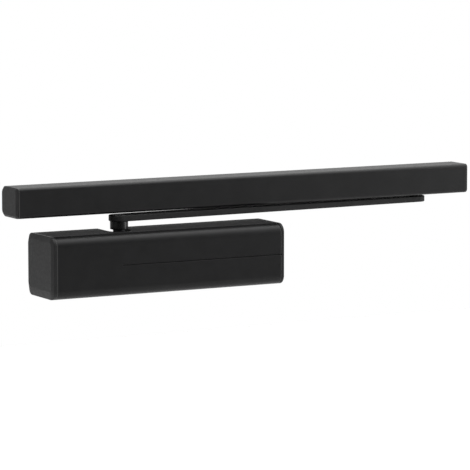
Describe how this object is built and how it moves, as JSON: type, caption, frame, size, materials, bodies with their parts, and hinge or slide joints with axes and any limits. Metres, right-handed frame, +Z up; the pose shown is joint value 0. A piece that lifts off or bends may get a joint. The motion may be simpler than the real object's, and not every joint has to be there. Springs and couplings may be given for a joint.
{
  "type": "door closer",
  "caption": "Surface-mounted hydraulic door closer with a rounded box body, a flat slide arm on its spindle and a guide rail with a slide block above it.",
  "frame": {"origin": "centre of the body's four fixing holes, on the mounting plane", "axes": "+X along the body and the rail, to the right seen from the front; +Y into the door or frame that it is fixed to; +Z up"},
  "size_m": [0.5084, 0.058, 0.1069],
  "materials": {
    "black_cover": "satin black powder coat",
    "black_rail": "satin black powder coat",
    "black_caps": "satin moulded",
    "black_arm": "satin black paint on steel",
    "dark_steel": "blackened",
    "track_aluminium": "black anodised",
    "dark_casting": "dark grey coated die casting",
    "zinc_steel": "zinc plated",
    "hard_steel": "ground",
    "spring_steel": "oiled",
    "valve_brass": "turned",
    "seal_rubber": "matte",
    "slide_plastic": "moulded acetal"
  },
  "bodies": {
    "body": {"housing": "dark_casting", "mounting_plate": "zinc_steel", "plate_screws": "zinc_steel", "cover": "black_cover", "cover_clips": "spring_steel", "end_cap_left": "black_caps", "end_cap_right": "black_caps", "damping_end_plug": "hard_steel", "damping_plug_oring": "seal_rubber", "spring_end_plug": "hard_steel", "spring_plug_oring": "seal_rubber", "upper_bearing_carrier": "dark_steel", "lower_bearing_carrier": "dark_steel", "upper_needle_bearing": "hard_steel", "lower_needle_bearing": "hard_steel", "upper_shaft_seal": "seal_rubber", "lower_shaft_seal": "seal_rubber", "main_spring": "spring_steel", "return_spring": "spring_steel"},
    "arm": {"cam_spindle": "dark_steel", "arm_sleeve": "slide_plastic", "arm": "black_arm", "arm_screw": "dark_steel", "pivot_pin": "dark_steel", "pin_clip": "spring_steel"},
    "drive_piston": {"drive_piston": "hard_steel", "drive_piston_seal": "slide_plastic", "drive_roller_pin": "hard_steel", "check_valve_ball": "hard_steel", "check_valve_retainer": "valve_brass"},
    "drive_roller": {"drive_roller": "hard_steel"},
    "damping_piston": {"damping_piston": "hard_steel", "damping_piston_seal": "slide_plastic", "damping_roller_pin": "hard_steel"},
    "damping_roller": {"damping_roller": "hard_steel"},
    "spring_plate": {"spring_plate": "hard_steel"},
    "adjusting_screw": {"adjusting_screw": "zinc_steel"},
    "closing_speed_valve": {"closing_speed_valve": "valve_brass"},
    "latching_speed_valve": {"latching_speed_valve": "valve_brass"},
    "backcheck_valve": {"backcheck_valve": "valve_brass"},
    "slide_block": {"slide_block": "slide_plastic"},
    "rail": {"rail_track": "track_aluminium", "rail_cover": "black_rail", "rail_bracket_left": "dark_casting", "rail_bracket_right": "dark_casting", "rail_buffers": "seal_rubber", "rail_end_cap_left": "black_caps", "rail_end_cap_right": "black_caps"}
  },
  "joints": [
    {"name": "arm_swing", "type": "hinge", "parent": "body", "child": "arm", "pos_m": [-0.0422, -0.029, 0.042], "axis": [0, 0, 1], "range_deg": [0, 170], "stiffness_Nm_per_rad": 3, "springref_deg": -171.89},
    {"name": "drive_piston_slide", "type": "slide", "parent": "body", "child": "drive_piston", "axis": [1, 0, 0], "range_m": [-0.0002, 0.0097], "deforming": ["main_spring"]},
    {"name": "damping_piston_slide", "type": "slide", "parent": "body", "child": "damping_piston", "axis": [1, 0, 0], "range_m": [-0.0002, 0.0097], "deforming": ["return_spring"]},
    {"name": "drive_roller_spin", "type": "hinge", "parent": "drive_piston", "child": "drive_roller", "pos_m": [-0.0282, -0.029, 0], "axis": [0, 0, 1], "continuous": true},
    {"name": "damping_roller_spin", "type": "hinge", "parent": "damping_piston", "child": "damping_roller", "pos_m": [-0.0662, -0.029, 0], "axis": [0, 0, 1], "continuous": true},
    {"name": "force_adjuster", "type": "hinge", "parent": "body", "child": "adjusting_screw", "pos_m": [0.1, -0.029, 0], "axis": [-1, 0, 0], "range_deg": [0, 2400]},
    {"name": "spring_plate_slide", "type": "slide", "parent": "body", "child": "spring_plate", "axis": [-1, 0, 0], "range_m": [-0.0001, 0.0102], "deforming": ["main_spring"]},
    {"name": "closing_speed_turn", "type": "hinge", "parent": "body", "child": "closing_speed_valve", "pos_m": [-0.072, -0.05, 0.017], "axis": [0, 1, 0], "range_deg": [-180, 180]},
    {"name": "latching_speed_turn", "type": "hinge", "parent": "body", "child": "latching_speed_valve", "pos_m": [-0.088, -0.05, 0.017], "axis": [0, 1, 0], "range_deg": [-180, 180]},
    {"name": "backcheck_turn", "type": "hinge", "parent": "body", "child": "backcheck_valve", "pos_m": [0.012, -0.05, 0.017], "axis": [0, 1, 0], "range_deg": [-180, 180]},
    {"name": "block_pivot", "type": "hinge", "parent": "arm", "child": "slide_block", "pos_m": [0.3014, -0.018, 0.05], "axis": [0, 0, 1], "range_deg": [-90, 90]},
    {"name": "rail_slide", "type": "slide", "parent": "slide_block", "child": "rail", "axis": [1, 0, 0], "range_m": [-0.0071, 0.4083]}
  ],
  "couplings": [
    {"joint": "drive_piston_slide", "follows": "arm_swing", "m_per_rad": 0.0031831},
    {"joint": "damping_piston_slide", "follows": "arm_swing", "m_per_rad": 0.0031831},
    {"joint": "spring_plate_slide", "follows": "force_adjuster", "m_per_rad": 0.00023873}
  ]
}
